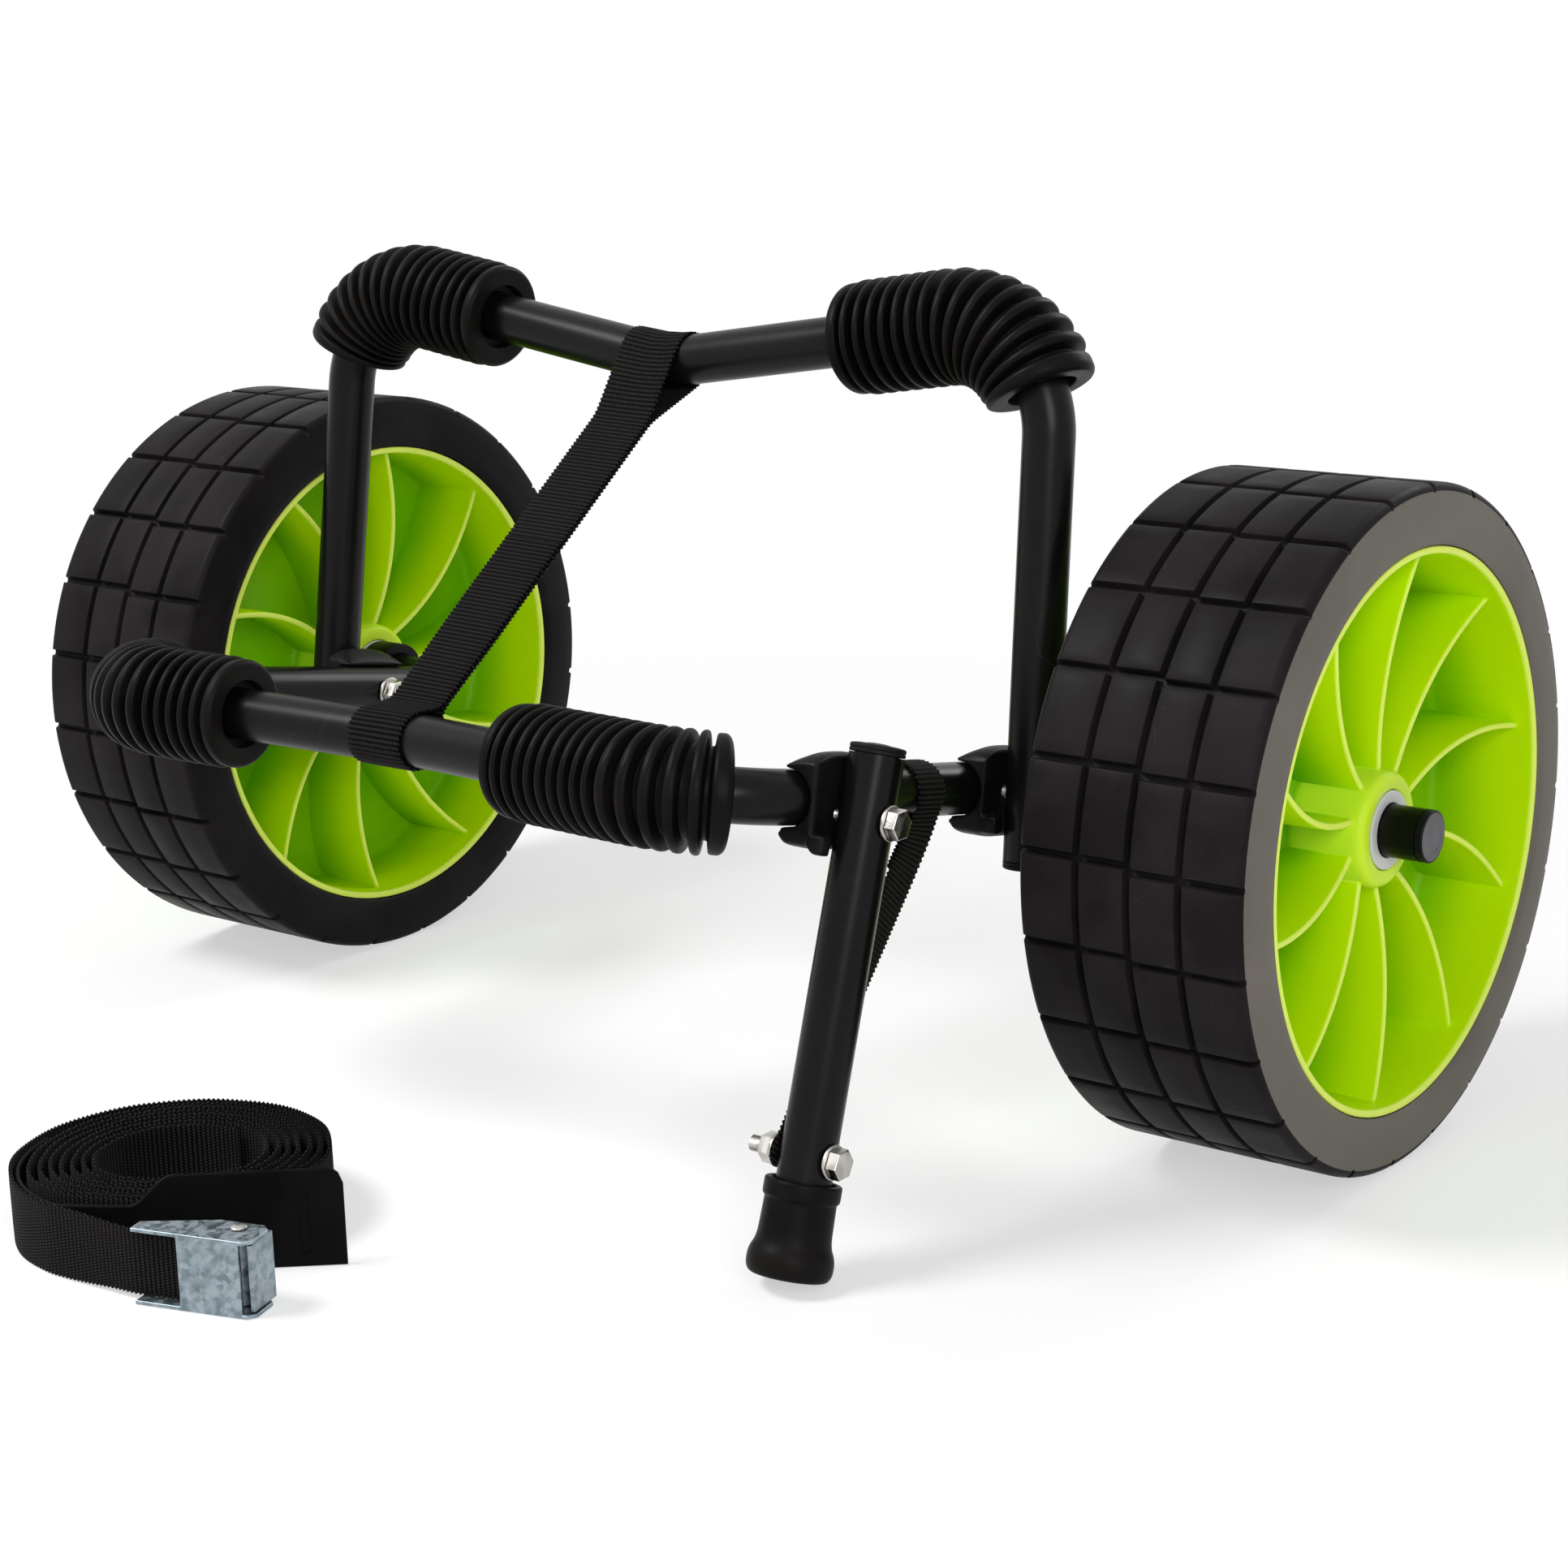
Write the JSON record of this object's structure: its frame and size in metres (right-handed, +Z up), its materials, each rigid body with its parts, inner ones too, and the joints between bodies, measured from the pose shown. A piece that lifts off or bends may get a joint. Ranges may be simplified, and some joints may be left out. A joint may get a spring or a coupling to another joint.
{
  "type": "paddleboard cart",
  "caption": "Two-wheeled carrying cart of two crossed tube hoops that fold, with padded corners, a kickstand and a tie-down strap, for wheeling a board over sand or paths.",
  "frame": {"origin": "on the floor under the middle of the whole object, with the tie-down strap included", "axes": "+X along the axle to the kickstand's side, -Y to the front, +Z up from the floor"},
  "size_m": [0.633, 0.4968, 0.3354],
  "materials": {
    "black_tube": "satin black powder coat",
    "black_plastic": "moulded, satin",
    "grey_plug": "moulded, matte",
    "grip_rubber": "matte",
    "tyre_rubber": "matte",
    "lime_plastic": "moulded, semi-gloss",
    "pale_plastic": "moulded, satin",
    "steel": "bright zinc plate",
    "zinc": "cast, satin",
    "webbing": "woven webbing",
    "pad_rubber": "smooth, satin"
  },
  "bodies": {
    "axle_frame": {"axle_hoop": "black_tube", "axle_plug_left": "grey_plug", "axle_plug_right": "grey_plug", "front_grip_left": "grip_rubber", "front_grip_right": "grip_rubber", "arm_saddle_left": "black_plastic", "arm_saddle_right": "black_plastic", "kickstand_saddle": "black_plastic", "thrust_washer_left": "black_plastic", "thrust_washer_right": "black_plastic", "cradle_bolt_left": "steel", "cradle_bolt_right": "steel", "cradle_washer_left": "steel", "cradle_washer_right": "steel", "cradle_nut_left": "steel", "cradle_nut_right": "steel", "arm_washer_left": "steel", "arm_washer_right": "steel", "kickstand_bolt": "steel", "kickstand_washer": "steel", "kickstand_nut": "steel", "leaf_spring_left": "steel", "leaf_spring_right": "steel", "spread_strap": "webbing", "stay_strap": "webbing", "tie_strap": "webbing", "strap_pad": "pad_rubber", "buckle_frame": "zinc", "buckle_pin": "steel", "buckle_spring": "steel"},
    "cradle": {"cradle_hoop": "black_tube", "cradle_grip_left": "grip_rubber", "cradle_grip_right": "grip_rubber", "leg_cap_left": "black_plastic", "leg_cap_right": "black_plastic"},
    "kickstand": {"kickstand_tube": "black_tube", "kickstand_cap": "black_plastic", "kickstand_foot": "grip_rubber", "stay_bolt": "steel", "stay_head_washer": "steel", "stay_nut_washer": "steel", "stay_nut": "steel"},
    "wheel_left": {"tyre_left": "tyre_rubber", "rim_left": "lime_plastic", "outer_bushing_left": "pale_plastic", "inner_bushing_left": "pale_plastic"},
    "wheel_right": {"tyre_right": "tyre_rubber", "rim_right": "lime_plastic", "outer_bushing_right": "pale_plastic", "inner_bushing_right": "pale_plastic"},
    "button_left": {"snap_button_left": "steel"},
    "button_right": {"snap_button_right": "steel"},
    "buckle_lever": {"buckle_lever": "zinc"}
  },
  "joints": [
    {"name": "cradle_fold", "type": "hinge", "parent": "axle_frame", "child": "cradle", "pos_m": [0, 0.04955, 0.14276], "axis": [1, 0, 0], "range_deg": [0, 66], "deforming": ["spread_strap"]},
    {"name": "kickstand_fold", "type": "hinge", "parent": "axle_frame", "child": "kickstand", "pos_m": [0.1853, -0.05608, 0.15725], "axis": [1, 0, 0], "range_deg": [0, 70], "deforming": ["stay_strap"]},
    {"name": "wheel_left_spin", "type": "hinge", "parent": "axle_frame", "child": "wheel_left", "pos_m": [-0.2635, 0.11837, 0.13], "axis": [1, 0, 0], "continuous": true},
    {"name": "wheel_right_spin", "type": "hinge", "parent": "axle_frame", "child": "wheel_right", "pos_m": [0.2635, 0.11837, 0.13], "axis": [1, 0, 0], "continuous": true},
    {"name": "button_left_press", "type": "slide", "parent": "axle_frame", "child": "button_left", "axis": [0, -1, 0], "range_m": [0, 0.0042], "stiffness_N_per_m": 800, "springref_m": -0.002, "deforming": ["leaf_spring_left"]},
    {"name": "button_right_press", "type": "slide", "parent": "axle_frame", "child": "button_right", "axis": [0, -1, 0], "range_m": [0, 0.0042], "stiffness_N_per_m": 800, "springref_m": -0.002, "deforming": ["leaf_spring_right"]},
    {"name": "lever_press", "type": "hinge", "parent": "axle_frame", "child": "buckle_lever", "pos_m": [0.03942, -0.22708, 0], "axis": [0, 0, 1], "range_deg": [0, 45], "stiffness_Nm_per_rad": 0.05, "springref_deg": -17.19}
  ]
}
